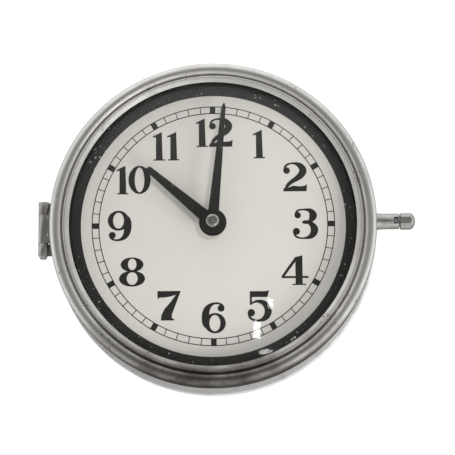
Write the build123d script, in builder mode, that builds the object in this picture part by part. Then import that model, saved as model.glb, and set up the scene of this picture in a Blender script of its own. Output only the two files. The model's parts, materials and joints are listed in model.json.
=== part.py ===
from build123d import *

# A ship's deck clock with a 180 mm dial: a wall-mounted impulse clock in a round flanged case,
# with a hinged glazed bezel on the left and a spring latch with a pull knob on the right.
# The origin is on the wall, on the axis of the hands. X is right, Z is up and the dial faces -Y.
# "Depth" is the distance in front of the wall, so a depth d lies at Y = -d.

import os
from math import acos, asin, cos, degrees, hypot, pi, radians, sin, tan

# --- Driving dimensions, in millimetres and degrees ---

DIAL_R = 90.0  # visible dial
DIAL_DEPTH = 42.0  # printed face of the dial
FLANGE_R = 112.5
DRUM_R = 103.0
NECK_R = 99.5
BEZEL_R = 110.5
BEZEL_DEPTH = 34.0  # rear edge of the bezel
CROWN_DEPTH = 51.0  # where the half-round crown springs from the bezel's side
LIP_R = 97.0  # opening of the bezel in front of the glass
LIP_DEPTH = 53.4  # front of the bezel's lip
GLASS_DEPTH = 49.1  # rear face of the glass at its rim
GLASS_T = 2.5
GLASS_RISE = 14.6  # height of the dome above the rim
WALL_T = 2.0

HOUR_ANGLE = 310.6  # clockwise from twelve
MINUTE_ANGLE = 5.6
HOUR_HAND_DEPTH = 51.0
MINUTE_HAND_DEPTH = 55.0
HAND_T = 0.8

HINGE_X = -116.4
HINGE_DEPTH = 34.0
KNUCKLE_R = 3.5
HINGE_PIN_R = 1.5

LATCH_DEPTH = 40.0
LATCH_Z = 1.4
PLUNGER_R = 2.0

RUNNING = 0.03  # radial clearance of a running fit
PLATE_REAR = 14.0  # rear face of the movement's rear plate
PLATE_FRONT = 34.0  # rear face of the movement's front plate
PLATE_T = 2.0

PRESSURE_ANGLE = radians(25)
ADDENDUM = 0.95  # in modules
DEDENDUM = 1.2
BACKLASH = 0.08  # thinning of each tooth at the pitch circle
SPOKE_W = 1.6

TRAIN_MODULE = 0.4  # of the wheels behind the front plate, and of the hour wheel
MOTION_MODULE = 0.5  # of the cannon pinion and the minute wheel
PINION_TEETH = 12
CENTRE_TEETH = 72
INTERMEDIATE_TEETH = 60
MINUTE_WHEEL_TEETH = 36
HOUR_WHEEL_TEETH = 48


def gear_centres(module, first_teeth, second_teeth):
    """Distance between the arbors of two meshed gears."""
    return module * (first_teeth + second_teeth) / 2


# Arbor positions seen from the front: (x, z)
CENTRE = (0.0, 0.0)
MINUTE_STUD = (0.0, gear_centres(MOTION_MODULE, PINION_TEETH, MINUTE_WHEEL_TEETH))
INTERMEDIATE = (0.0, -gear_centres(TRAIN_MODULE, CENTRE_TEETH, PINION_TEETH))
ROTOR_BEARING = -20.0  # direction from the intermediate arbor to the rotor
ROTOR_DISTANCE = gear_centres(TRAIN_MODULE, INTERMEDIATE_TEETH, PINION_TEETH)
ROTOR = (
    INTERMEDIATE[0] + ROTOR_DISTANCE * cos(radians(ROTOR_BEARING)),
    INTERMEDIATE[1] + ROTOR_DISTANCE * sin(radians(ROTOR_BEARING)),
)

os.makedirs("parts", exist_ok=True)


# --- Working planes and shared shapes ---

# Half section of everything turned about the hands' axis: local x is radius, local y is depth.
HALF_SECTION = Plane(origin=(0, 0, 0), x_dir=(1, 0, 0), z_dir=(0, 0, -1))


def facing(depth, x=0.0, z=0.0):
    """Plane parallel to the wall: local x is right, local y is up, and extrusions go forward."""
    return Plane(origin=(x, -depth, z), x_dir=(1, 0, 0), z_dir=(0, -1, 0))


def outward(angle, radius, depth):
    """Plane square to a radius of the case, at an angle anticlockwise from three o'clock."""
    direction = (cos(radians(angle)), 0, sin(radians(angle)))
    origin = (radius * direction[0], -depth, radius * direction[2])
    return Plane(origin=origin, x_dir=(0, -1, 0), z_dir=direction)


def across(x, depth, z):
    """Plane square to X: local x is up, and extrusions go to the right."""
    return Plane(origin=(x, -depth, z), x_dir=(0, 0, 1), z_dir=(1, 0, 0))


def half_section(*corners, rounded_at=None, rounding=0.0):
    """Closed outline of (radius, depth) corners; those at one radius may be rounded."""
    with BuildSketch(HALF_SECTION) as outline:
        with BuildLine():
            Polyline(*corners, close=True)
        make_face()
        if rounded_at:
            rim = outline.vertices().filter_by_position(Axis.X, rounded_at - 0.01, rounded_at + 0.01)
            fillet(rim, rounding)
    return outline.sketch


def ring_between(start, end, radius, hole=0.0, at=CENTRE, mode=Mode.ADD):
    """Disc or ring between two depths, joined to the part being built."""
    with BuildSketch(facing(start, *at)) as outline:
        Circle(radius)
        if hole:
            Circle(hole, mode=Mode.SUBTRACT)
    extrude(outline.sketch, amount=end - start, mode=mode)


def holes_through(start, end, radius, places):
    """Round holes at (x, z) places, cut from the part being built."""
    for place in places:
        ring_between(start, end, radius, at=place, mode=Mode.SUBTRACT)


def round_places(radius, angles):
    """The (x, z) places on a circle about the hands' axis."""
    return [(radius * cos(radians(a)), radius * sin(radians(a))) for a in angles]


def screw(plane, head_r, head_t, shank_r, shank_length):
    """Pan-head screw with a slot: its seat is on the plane, and its shank runs back from it."""
    with BuildSketch(plane) as head:
        Circle(head_r)
    extrude(head.sketch, amount=head_t)
    with BuildSketch(plane) as shank:
        Circle(shank_r)
    extrude(shank.sketch, amount=-shank_length)
    with BuildSketch(plane.offset(head_t * 0.55)) as slot:
        Rectangle(2.2 * head_r, 0.28 * head_r)
    extrude(slot.sketch, amount=head_t, mode=Mode.SUBTRACT)


def block(corner, opposite, mode=Mode.ADD):
    """Box between two (x, depth, z) corners, joined to the part being built."""
    width, thickness, height = (abs(b - a) for a, b in zip(corner, opposite))
    middle_x, middle_depth, middle_z = ((a + b) / 2 for a, b in zip(corner, opposite))
    with BuildSketch(facing(middle_depth - thickness / 2, middle_x, middle_z)) as outline:
        Rectangle(width, height)
    extrude(outline.sketch, amount=thickness, mode=mode)


# --- Gears ---


def involute(angle):
    return tan(angle) - angle


def tooth_half_angle(radius, module, teeth):
    """Half the angle that a tooth covers at a radius, from the involute of its base circle."""
    pitch_r = module * teeth / 2
    base_r = pitch_r * cos(PRESSURE_ANGLE)
    at_pitch = pi / (2 * teeth) - BACKLASH / (2 * pitch_r)
    spread = involute(acos(base_r / max(radius, base_r)))
    return at_pitch + involute(PRESSURE_ANGLE) - spread


def toothed(module, teeth, start, end, at=CENTRE, tooth_at=0.0, bore=0.0):
    """Spur gear between two depths, with a tooth centred on the direction tooth_at."""
    pitch_r = module * teeth / 2
    root_r = pitch_r - DEDENDUM * module
    tip_r = pitch_r + ADDENDUM * module
    flank_start = max(root_r, pitch_r * cos(PRESSURE_ANGLE))
    flank = [flank_start, (flank_start + tip_r) / 2, tip_r]
    if flank_start > root_r:
        flank.insert(0, root_r)
    corners = []
    for tooth in range(teeth):
        middle = radians(tooth_at) + 2 * pi * tooth / teeth
        for side, radii in ((-1, flank), (1, flank[::-1])):
            for radius in radii:
                angle = middle + side * tooth_half_angle(radius, module, teeth)
                corners.append((radius * cos(angle), radius * sin(angle)))
    with BuildSketch(facing(start, *at)) as outline:
        with BuildLine():
            Polyline(*corners, close=True)
        make_face()
        if bore:
            Circle(bore, mode=Mode.SUBTRACT)
    extrude(outline.sketch, amount=end - start)


def crossings(start, end, inner, outer, count, at):
    """Lightening windows between the spokes of a wheel."""
    middle_r = (inner + outer) / 2
    window_length = 2 * middle_r * sin(pi / count) - SPOKE_W
    with BuildSketch(facing(start, *at)) as windows:
        with PolarLocations(middle_r, count):
            SlotOverall(window_length, outer - inner, rotation=90)
    extrude(windows.sketch, amount=end - start, mode=Mode.SUBTRACT)


# --- Case ---

COVER_R = 97.5
COVER_SCREWS = round_places(94.6, (45, 135, 225, 315))
CABLE_AT = (0.0, -74.0)
WALL_SCREW_R = 107.5
# Turned fifteen degrees, so that no wall screw lies behind the hinge or the latch.
WALL_SCREWS = round_places(WALL_SCREW_R, (105, 225, 345))
SEAT_SCREWS = round_places(93.3, (30, 150, 270))
TERMINAL_Z = -55.0
BLOCK_SCREWS = [(-15.0, TERMINAL_Z), (15.0, TERMINAL_Z)]
HINGE_SCREW_ANGLES = (173.8, 180.0, 186.2)
HINGE_SCREW_DEPTH = 23.0
RIVET_ANGLES = (177.0, 183.0)
RIVET_DEPTH = 43.0
RIVET_R = 1.0
RIVET_END_R = 107.0  # how deep the rivets reach into the bezel

with BuildPart() as case_body:
    revolve(
        half_section(
            (COVER_R + 0.3, 0),
            (FLANGE_R, 0),
            (FLANGE_R, 3.0),
            (DRUM_R + 2.0, 3.0),
            (DRUM_R, 5.0),
            (DRUM_R, BEZEL_DEPTH - 1),
            (NECK_R, BEZEL_DEPTH - 1),
            (NECK_R, 43.0),
            (96.5, 43.0),
            (96.5, 41.0),
            (88.0, 41.0),
            (88.0, 38.0),
            (96.5, 38.0),
            (96.5, 31.0),
            (DRUM_R - WALL_T, 31.0),
            (DRUM_R - WALL_T, 6.0),
            (91.5, 6.0),
            (91.5, 3.0),
            (COVER_R + 0.3, 3.0),
            rounded_at=FLANGE_R,
            rounding=1.2,
        ),
        axis=Axis.Y,
    )
    holes_through(-1, 4, 2.25, WALL_SCREWS)
    holes_through(2, 7, 1.5, COVER_SCREWS)
    holes_through(37.5, 41.5, 1.25, SEAT_SCREWS)
    for screw_angle in HINGE_SCREW_ANGLES:
        with BuildSketch(outward(screw_angle, DRUM_R - 5, HINGE_SCREW_DEPTH)) as tapped:
            Circle(1.25)
        extrude(tapped.sketch, amount=8, mode=Mode.SUBTRACT)
    with BuildSketch(across(LIP_R, LATCH_DEPTH, LATCH_Z)) as keeper_hole:
        Circle(PLUNGER_R + 0.3)
    extrude(keeper_hole.sketch, amount=6, mode=Mode.SUBTRACT)
case_body.part.label = "case_body"
export_step(case_body.part, "parts/case_body.step")

with BuildPart() as back_cover:
    ring_between(1.4, 3.0, COVER_R)
    # A shallow pressed dish stiffens the sheet.
    revolve(
        half_section((0, 3.0), (0, 4.6), (60, 4.6), (63, 3.0)),
        axis=Axis.Y,
    )
    revolve(
        half_section((0, 1.4), (0, 3.0), (58.5, 3.0), (61.5, 1.4)),
        axis=Axis.Y,
        mode=Mode.SUBTRACT,
    )
    holes_through(1, 4, 1.7, COVER_SCREWS)
    holes_through(1, 4, 5.5, [CABLE_AT])
    holes_through(1, 6, 1.3, BLOCK_SCREWS)
back_cover.part.label = "back_cover"
export_step(back_cover.part, "parts/back_cover.step")

with BuildPart() as back_cover_screws:
    for place in COVER_SCREWS:
        seat = Plane(origin=(place[0], -1.4, place[1]), x_dir=(1, 0, 0), z_dir=(0, 1, 0))
        screw(seat, 2.8, 1.1, 1.45, 4.8)
back_cover_screws.part.label = "back_cover_screws"
export_step(back_cover_screws.part, "parts/back_cover_screws.step")

CABLE_R = 4.0

with BuildPart() as cable_grommet:
    ring_between(0.4, 1.4, 7.5, at=CABLE_AT)
    ring_between(1.4, 3.0, 5.5, at=CABLE_AT)
    ring_between(3.0, 5.4, 7.0, at=CABLE_AT)
    fillet(cable_grommet.faces().sort_by(Axis.Y)[0].edges(), 0.8)
    holes_through(0, 6, CABLE_R, [CABLE_AT])
cable_grommet.part.label = "cable_grommet"
export_step(cable_grommet.part, "parts/cable_grommet.step")

with BuildPart() as case_gasket:
    with BuildSketch(HALF_SECTION):
        with Locations((98.0, 44.15)):
            RectangleRounded(2.6, 2.3, 0.8)
    revolve(axis=Axis.Y)
case_gasket.part.label = "case_gasket"
export_step(case_gasket.part, "parts/case_gasket.step")

# --- Bezel and glass ---

GLASS_R = 98.8
POCKET_R = 100.2  # of the seat for the glass and its gasket
DOME_R = 96.5  # where the dome springs from the rim of the glass
SEAT_DEPTH = GLASS_DEPTH + GLASS_T + 0.8  # rear face of the bezel's lip
CROWN_R = 4.5
GROOVE_R = BEZEL_R - 2 * CROWN_R + 0.3

with BuildPart() as bezel_ring:
    with BuildSketch(HALF_SECTION) as bezel_section:
        with BuildLine():
            groove_rise = (CROWN_R**2 - (CROWN_R - 0.3) ** 2) ** 0.5
            Polyline(
                (LIP_R, SEAT_DEPTH),
                (POCKET_R, SEAT_DEPTH),
                (POCKET_R, GLASS_DEPTH),
                (DRUM_R, GLASS_DEPTH),
                (DRUM_R, BEZEL_DEPTH),
                (BEZEL_R, BEZEL_DEPTH),
                (BEZEL_R, CROWN_DEPTH),
            )
            ThreePointArc(
                (BEZEL_R, CROWN_DEPTH),
                (BEZEL_R - CROWN_R, CROWN_DEPTH + CROWN_R),
                (GROOVE_R, CROWN_DEPTH + groove_rise),
            )
            Polyline(
                (GROOVE_R, CROWN_DEPTH + groove_rise),
                (GROOVE_R - 0.5, CROWN_DEPTH + groove_rise),
                (GROOVE_R - 0.5, LIP_DEPTH + 0.9),
            )
            ThreePointArc(
                (GROOVE_R - 0.5, LIP_DEPTH + 0.9),
                (GROOVE_R - 1.5, LIP_DEPTH + 2.0),
                (GROOVE_R - 2.7, LIP_DEPTH + 1.2),
            )
            Polyline(
                (GROOVE_R - 2.7, LIP_DEPTH + 1.2),
                (GROOVE_R - 3.4, LIP_DEPTH + 0.8),
                (LIP_R, LIP_DEPTH),
                (LIP_R, SEAT_DEPTH),
            )
        make_face()
        rear_corner = bezel_section.vertices().sort_by_distance((BEZEL_R, BEZEL_DEPTH))[0]
        fillet(rear_corner, 1.2)
    revolve(axis=Axis.Y)
    with BuildSketch(across(LIP_R, LATCH_DEPTH, LATCH_Z)) as plunger_hole:
        Circle(PLUNGER_R + RUNNING)
    extrude(plunger_hole.sketch, amount=16, mode=Mode.SUBTRACT)
    for rivet_angle in RIVET_ANGLES:
        with BuildSketch(outward(rivet_angle, RIVET_END_R, RIVET_DEPTH)) as rivet_hole:
            Circle(RIVET_R)
        extrude(rivet_hole.sketch, amount=6, mode=Mode.SUBTRACT)
bezel_ring.part.label = "bezel_ring"
export_step(bezel_ring.part, "parts/bezel_ring.step")


def dome_arc(rim_r, rim_depth):
    """Arc of a spherical dome in the half section, from its rim to its apex on the axis."""
    sphere_r = (rim_r**2 + GLASS_RISE**2) / (2 * GLASS_RISE)
    half_angle = degrees(asin(rim_r / sphere_r))
    return CenterArc((0, rim_depth + GLASS_RISE - sphere_r), sphere_r, 90 - half_angle, half_angle)


with BuildPart() as glass:
    with BuildSketch(HALF_SECTION):
        with BuildLine():
            front = GLASS_DEPTH + GLASS_T
            outer_dome = dome_arc(DOME_R, front)
            inner_dome = dome_arc(DOME_R - 1, GLASS_DEPTH)
            Line(outer_dome @ 1, inner_dome @ 1)
            Polyline(inner_dome @ 0, (GLASS_R, GLASS_DEPTH), (GLASS_R, front), outer_dome @ 0)
        make_face()
    revolve(axis=Axis.Y)
glass.part.label = "glass"
export_step(glass.part, "parts/glass.step")

with BuildPart() as glass_gasket:
    revolve(
        half_section(
            (97.3, SEAT_DEPTH - 0.8),
            (GLASS_R, SEAT_DEPTH - 0.8),
            (GLASS_R, GLASS_DEPTH),
            (POCKET_R, GLASS_DEPTH),
            (POCKET_R, SEAT_DEPTH),
            (97.3, SEAT_DEPTH),
        ),
        axis=Axis.Y,
    )
glass_gasket.part.label = "glass_gasket"
export_step(glass_gasket.part, "parts/glass_gasket.step")

with BuildPart() as glass_retaining_ring:
    ring_between(45.4, GLASS_DEPTH, DRUM_R, hole=97.5)
glass_retaining_ring.part.label = "glass_retaining_ring"
export_step(glass_retaining_ring.part, "parts/glass_retaining_ring.step")

# --- Hinge ---

MIDDLE_TOP = 9.6
MIDDLE_BOTTOM = -10.4
KNUCKLE_GAP = 0.3
HINGE_TOP = 18.1
HINGE_BOTTOM = -18.6
OUTER_KNUCKLES = ((HINGE_BOTTOM, MIDDLE_BOTTOM - KNUCKLE_GAP), (MIDDLE_TOP + KNUCKLE_GAP, HINGE_TOP))
PIN_HEAD_LENGTH = 2.5
STRIP_X = HINGE_X + KNUCKLE_R + 0.3  # edge of the case leaf beside the middle knuckle
CASE_LEAF_FRONT = 32.3
LEAF_T = 1.8
BEZEL_LEAF_T = 1.4


def knuckle(low, high, bore):
    """Hinge barrel between two heights, joined to the part being built."""
    with BuildSketch(Plane.XY.offset(low)) as barrel:
        with Locations((HINGE_X, -HINGE_DEPTH)):
            Circle(KNUCKLE_R)
    extrude(barrel.sketch, amount=high - low)
    with BuildSketch(Plane.XY.offset(low)) as hole:
        with Locations((HINGE_X, -HINGE_DEPTH)):
            Circle(bore)
    extrude(hole.sketch, amount=high - low, mode=Mode.SUBTRACT)


with BuildPart() as hinge_case_leaf:
    # The foot is a curved strip that lies on the side of the drum.
    foot_r = DRUM_R + LEAF_T
    revolve(
        half_section((DRUM_R, 14), (foot_r, 14), (foot_r, CASE_LEAF_FRONT), (DRUM_R, CASE_LEAF_FRONT)),
        axis=Axis.Y,
    )
    block((-DRUM_R - 5, 10, HINGE_BOTTOM), (-90, 34, HINGE_TOP), mode=Mode.INTERSECT)
    for low, high in OUTER_KNUCKLES:
        block((HINGE_X, HINGE_DEPTH - KNUCKLE_R, low), (-101, CASE_LEAF_FRONT, high))
    block((STRIP_X, HINGE_DEPTH - KNUCKLE_R, HINGE_BOTTOM), (-101, CASE_LEAF_FRONT, HINGE_TOP))
    ring_between(10, 40, DRUM_R, mode=Mode.SUBTRACT)
    for low, high in OUTER_KNUCKLES:
        knuckle(low, high, HINGE_PIN_R)
    for screw_angle in HINGE_SCREW_ANGLES:
        with BuildSketch(outward(screw_angle, DRUM_R - 5, HINGE_SCREW_DEPTH)) as clearance_hole:
            Circle(1.4)
        extrude(clearance_hole.sketch, amount=10, mode=Mode.SUBTRACT)
hinge_case_leaf.part.label = "hinge_case_leaf"
export_step(hinge_case_leaf.part, "parts/hinge_case_leaf.step")

with BuildPart() as hinge_screws:
    for screw_angle in HINGE_SCREW_ANGLES:
        screw(outward(screw_angle, DRUM_R + LEAF_T + 0.05, HINGE_SCREW_DEPTH), 2.4, 1.4, 1.25, 5.0)
hinge_screws.part.label = "hinge_screws"
export_step(hinge_screws.part, "parts/hinge_screws.step")

with BuildPart() as hinge_bezel_leaf:
    revolve(
        half_section(
            (BEZEL_R, 35.5), (BEZEL_R + BEZEL_LEAF_T, 35.5), (BEZEL_R + BEZEL_LEAF_T, 48), (BEZEL_R, 48)
        ),
        axis=Axis.Y,
    )
    block((-BEZEL_R - 5, 34, MIDDLE_BOTTOM), (-100, 50, MIDDLE_TOP), mode=Mode.INTERSECT)
    block((HINGE_X, HINGE_DEPTH + 1.5, MIDDLE_BOTTOM), (-109, HINGE_DEPTH + KNUCKLE_R, MIDDLE_TOP))
    ring_between(30, 50, BEZEL_R, mode=Mode.SUBTRACT)
    knuckle(MIDDLE_BOTTOM, MIDDLE_TOP, HINGE_PIN_R + RUNNING)
    for rivet_angle in RIVET_ANGLES:
        with BuildSketch(outward(rivet_angle, RIVET_END_R, RIVET_DEPTH)) as rivet_hole:
            Circle(RIVET_R)
        extrude(rivet_hole.sketch, amount=8, mode=Mode.SUBTRACT)
hinge_bezel_leaf.part.label = "hinge_bezel_leaf"
export_step(hinge_bezel_leaf.part, "parts/hinge_bezel_leaf.step")

with BuildPart() as hinge_rivets:
    for rivet_angle in RIVET_ANGLES:
        with BuildSketch(outward(rivet_angle, RIVET_END_R, RIVET_DEPTH)) as rivet_shank:
            Circle(RIVET_R)
        extrude(rivet_shank.sketch, amount=BEZEL_R + BEZEL_LEAF_T - RIVET_END_R)
        with BuildSketch(outward(rivet_angle, BEZEL_R + BEZEL_LEAF_T, RIVET_DEPTH)) as rivet_head:
            Circle(1.8)
        extrude(rivet_head.sketch, amount=0.9, taper=30)
hinge_rivets.part.label = "hinge_rivets"
export_step(hinge_rivets.part, "parts/hinge_rivets.step")

with BuildPart() as hinge_pin:
    with BuildSketch(Plane.XY.offset(HINGE_BOTTOM)):
        with Locations((HINGE_X, -HINGE_DEPTH)):
            Circle(HINGE_PIN_R)
    extrude(amount=HINGE_TOP - HINGE_BOTTOM + 0.4)
    chamfer(hinge_pin.faces().sort_by(Axis.Z)[-1].edges(), 0.3)
    with BuildSketch(Plane.XY.offset(HINGE_BOTTOM)) as head:
        with Locations((HINGE_X, -HINGE_DEPTH)):
            Circle(KNUCKLE_R - 0.3)
    extrude(head.sketch, amount=-PIN_HEAD_LENGTH, taper=25)
hinge_pin.part.label = "hinge_pin"
export_step(hinge_pin.part, "parts/hinge_pin.step")

# --- Latch ---

LATCH_AXIS = Axis((0, -LATCH_DEPTH, LATCH_Z), (1, 0, 0))
LATCH_SECTION = facing(LATCH_DEPTH, 0, LATCH_Z)  # local x along the latch, local y its radius
BARREL_R = 5.3
FOOT_R = 5.9
BARREL_END = 126.0
SLOT_W = 4.6
SPRING_START = 113.4
SPRING_END = 121.0
CROSS_PIN_X = 123.8
CROSS_PIN_R = 1.2
KNOB_START = 126.6
KNOB_END = 136.9
KNOB_FLATS = 10.7

with BuildPart() as latch_barrel:
    with BuildSketch(LATCH_SECTION):
        with BuildLine():
            Polyline(
                (108.5, PLUNGER_R + RUNNING),
                (112.0, PLUNGER_R + RUNNING),
                (112.0, 3.4),
                (SPRING_END, 3.4),
                (SPRING_END, PLUNGER_R + RUNNING),
                (BARREL_END, PLUNGER_R + RUNNING),
                (BARREL_END, BARREL_R - 0.4),
                (BARREL_END - 0.4, BARREL_R),
                (115.0, BARREL_R),
            )
            # The foot flares out to meet the side of the bezel.
            RadiusArc((115.0, BARREL_R), (110.4, FOOT_R), 20.0)
            Polyline((110.4, FOOT_R), (108.5, FOOT_R), (108.5, PLUNGER_R + RUNNING))
        make_face()
    revolve(axis=LATCH_AXIS)
    block(
        (CROSS_PIN_X - 1.4, LATCH_DEPTH - 6, LATCH_Z - SLOT_W / 2),
        (BARREL_END + 1, LATCH_DEPTH + 6, LATCH_Z + SLOT_W / 2),
        mode=Mode.SUBTRACT,
    )
    ring_between(30, 50, BEZEL_R, mode=Mode.SUBTRACT)
latch_barrel.part.label = "latch_barrel"
export_step(latch_barrel.part, "parts/latch_barrel.step")

with BuildPart() as latch_plunger:
    with BuildSketch(LATCH_SECTION):
        with BuildLine():
            Polyline(
                (97.5, 0),
                (97.5, 1.2),
                (98.3, PLUNGER_R),
                (112.4, PLUNGER_R),
                (112.4, 3.2),
                (113.3, 3.2),
                (113.3, PLUNGER_R),
                (134.0, PLUNGER_R),
                (134.0, 0),
                close=True,
            )
        make_face()
    revolve(axis=LATCH_AXIS)
    holes_through(LATCH_DEPTH - 6, LATCH_DEPTH + 6, CROSS_PIN_R, [(CROSS_PIN_X, LATCH_Z)])
latch_plunger.part.label = "latch_plunger"
export_step(latch_plunger.part, "parts/latch_plunger.step")

with BuildPart() as latch_cross_pin:
    reach = BARREL_R - 0.1
    ring_between(LATCH_DEPTH - reach, LATCH_DEPTH + reach, CROSS_PIN_R, at=(CROSS_PIN_X, LATCH_Z))
    chamfer(latch_cross_pin.edges().filter_by(GeomType.CIRCLE), 0.3)
latch_cross_pin.part.label = "latch_cross_pin"
export_step(latch_cross_pin.part, "parts/latch_cross_pin.step")

with BuildPart() as latch_spring:
    wire_r = 0.35
    coil_r = 2.72
    turns = 6
    coil_length = SPRING_END - SPRING_START - 2 * wire_r - 0.1
    with BuildLine() as coil:
        Helix(
            pitch=coil_length / turns,
            height=coil_length,
            radius=coil_r,
            center=(SPRING_START + wire_r + 0.05, -LATCH_DEPTH, LATCH_Z),
            direction=(1, 0, 0),
        )
    with BuildSketch(Plane(origin=coil.edges()[0] @ 0, z_dir=coil.edges()[0] % 0)) as wire_section:
        Circle(wire_r)
    sweep(wire_section.sketch, path=coil.edges()[0], is_frenet=True)
latch_spring.part.label = "latch_spring"
export_step(latch_spring.part, "parts/latch_spring.step")

with BuildPart() as latch_knob:
    with BuildSketch(across(KNOB_START, LATCH_DEPTH, LATCH_Z)):
        RegularPolygon(KNOB_FLATS / 2, 8, major_radius=False, rotation=22.5)
    extrude(amount=KNOB_END - KNOB_START)
    # After the flats are cut, the near end is turned to a chamfer and the far end to a dome.
    with BuildSketch(LATCH_SECTION) as turned_blank:
        with BuildLine():
            Polyline(
                (KNOB_END, 0),
                (KNOB_START, 0),
                (KNOB_START, 4.9),
                (KNOB_START + 0.8, 5.9),
                (KNOB_END - 3.6, 5.9),
            )
            ThreePointArc((KNOB_END - 3.6, 5.9), (KNOB_END - 1.1, 3.9), (KNOB_END, 0))
        make_face()
    revolve(turned_blank.sketch, axis=LATCH_AXIS, mode=Mode.INTERSECT)
    with BuildSketch(across(KNOB_START, LATCH_DEPTH, LATCH_Z)) as knob_bore:
        Circle(PLUNGER_R)
    extrude(knob_bore.sketch, amount=134.0 - KNOB_START, mode=Mode.SUBTRACT)
latch_knob.part.label = "latch_knob"
export_step(latch_knob.part, "parts/latch_knob.step")

# --- Dial, with its printing ---

INK_T = 0.06
TRACK_OUTER = 82.7
TRACK_INNER = 77.4
TRACK_LINE = 0.62
HOUR_BLOCK_W = 3.8
NUMERAL_CIRCLE = 63.6

with BuildPart() as dial:
    ring_between(DIAL_DEPTH - 1, DIAL_DEPTH, 96.3, hole=4.5)
    holes_through(DIAL_DEPTH - 2, DIAL_DEPTH + 1, 1.4, SEAT_SCREWS)
dial.part.label = "dial"
export_step(dial.part, "parts/dial.step")

with BuildPart() as minute_track:
    with BuildSketch(facing(DIAL_DEPTH)):
        Circle(TRACK_OUTER)
        Circle(TRACK_OUTER - TRACK_LINE, mode=Mode.SUBTRACT)
        Circle(TRACK_INNER + TRACK_LINE)
        Circle(TRACK_INNER, mode=Mode.SUBTRACT)
        with PolarLocations((TRACK_OUTER + TRACK_INNER) / 2, 60):
            Rectangle(TRACK_OUTER - TRACK_INNER - TRACK_LINE, TRACK_LINE * 0.9)
        with PolarLocations((TRACK_OUTER + TRACK_INNER) / 2, 12):
            Rectangle(TRACK_OUTER - TRACK_INNER - TRACK_LINE, HOUR_BLOCK_W)
    extrude(amount=INK_T)
minute_track.part.label = "minute_track"
export_step(minute_track.part, "parts/minute_track.step")


def pen_stroke(at, *nodes):
    """Smooth stroke through (x, y, width) nodes, joined to the sketch being drawn."""
    left = []
    right = []
    for i, (x, y, width) in enumerate(nodes):
        before = nodes[max(i - 1, 0)]
        after = nodes[min(i + 1, len(nodes) - 1)]
        along = (after[0] - before[0], after[1] - before[1])
        reach = width / 2 / hypot(*along)
        left.append((at[0] + x - along[1] * reach, at[1] + y + along[0] * reach))
        right.append((at[0] + x + along[1] * reach, at[1] + y - along[0] * reach))
    with BuildLine() as outline:
        Spline(*left)
        Line(left[-1], right[-1])
        Spline(*right[::-1])
        Line(right[0], left[0])
    make_face(outline.line)


def flat_shape(at, *corners, mode=Mode.ADD):
    """Straight-sided shape, joined to the sketch being drawn."""
    with BuildLine() as outline:
        Polyline(*((at[0] + x, at[1] + y) for x, y in corners), close=True)
    make_face(outline.line, mode=mode)


def oval(at, x, y, half_width, half_height, mode=Mode.ADD):
    with Locations((at[0] + x, at[1] + y)):
        Ellipse(half_width, half_height, mode=mode)


def ball(at, x, y, radius):
    """Round terminal at the end of a thin stroke."""
    with Locations((at[0] + x, at[1] + y)):
        Circle(radius)


# The figures are 20 mm high, fat-faced, with ball terminals; each is drawn about its own middle.


def figure_0(at):
    oval(at, 0, 0, 7.6, 9.8)
    oval(at, 0, 0, 3.3, 8.6, mode=Mode.SUBTRACT)


def figure_1(at):
    foot = ((-2.2, -9.1), (-3.8, -9.1), (-3.8, -10), (3.9, -10), (3.9, -9.1), (2.4, -9.1))
    flag = ((1.8, 10), (-4.4, 7.0), (-4.4, 6.2), (-2.2, 6.5))
    flat_shape(at, *foot, *flag)


def figure_2(at):
    pen_stroke(
        at,
        (-7.2, 4.8, 1.0),
        (-5.6, 8.3, 1.4),
        (-1.4, 9.5, 1.3),
        (3.2, 8.1, 3.6),
        (5.5, 4.2, 5.0),
        (3.2, 0.4, 4.2),
        (-2.2, -3.3, 2.8),
        (-5.9, -7.2, 2.2),
    )
    ball(at, -5.6, 4.5, 2.3)
    foot = ((-8.0, -10), (7.8, -10), (8.2, -5.0), (6.7, -6.2), (3.0, -6.6), (-1.4, -6.1), (-5.0, -7.6))
    flat_shape(at, *foot, (-6.9, -6.9), (-8.0, -8.8))


def figure_3(at):
    pen_stroke(
        at,
        (-6.9, 6.4, 1.0),
        (-4.9, 9.3, 1.3),
        (-0.9, 9.9, 1.2),
        (3.5, 8.9, 3.4),
        (5.3, 5.8, 5.2),
        (3.4, 2.4, 3.2),
        (-2.2, 1.2, 1.3),
    )
    ball(at, -5.2, 6.0, 2.2)
    pen_stroke(
        at,
        (-2.2, 1.2, 1.3),
        (3.4, 0.3, 3.0),
        (6.1, -4.0, 5.1),
        (3.8, -8.4, 3.5),
        (-1.0, -9.8, 1.2),
        (-5.8, -9.0, 1.4),
        (-8.1, -5.4, 1.0),
    )
    ball(at, -6.2, -5.1, 2.4)


def figure_4(at):
    diagonal_and_bar = ((5.1, 10.2), (0.1, 9.0), (-9.0, -3.7), (-9.0, -5.3), (0.3, -5.3))
    foot = ((0.3, -9.2), (-1.8, -9.2), (-1.8, -10.1), (7.3, -10.1), (7.3, -9.2), (5.1, -9.2))
    bar_end = ((5.1, -5.3), (9.0, -5.3), (9.0, -3.9), (5.1, -3.9))
    flat_shape(at, *diagonal_and_bar, *foot, *bar_end)
    flat_shape(at, (0.3, 5.9), (0.3, -3.9), (-7.0, -3.9), mode=Mode.SUBTRACT)


def figure_5(at):
    flag = ((-6.6, 10.0), (4.4, 10.0), (6.4, 10.6), (5.3, 6.0), (-5.2, 6.0))
    flat_shape(at, *flag, (-5.2, 0.8), (-6.6, 0.8))
    pen_stroke(
        at,
        (-5.9, 1.2, 1.3),
        (-2.6, 3.0, 1.6),
        (2.4, 2.2, 3.4),
        (5.7, -3.3, 4.8),
        (3.5, -8.3, 3.6),
        (-1.0, -9.9, 1.4),
        (-5.4, -8.9, 1.5),
        (-7.6, -5.4, 1.1),
    )
    ball(at, -5.7, -4.6, 2.5)


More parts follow.
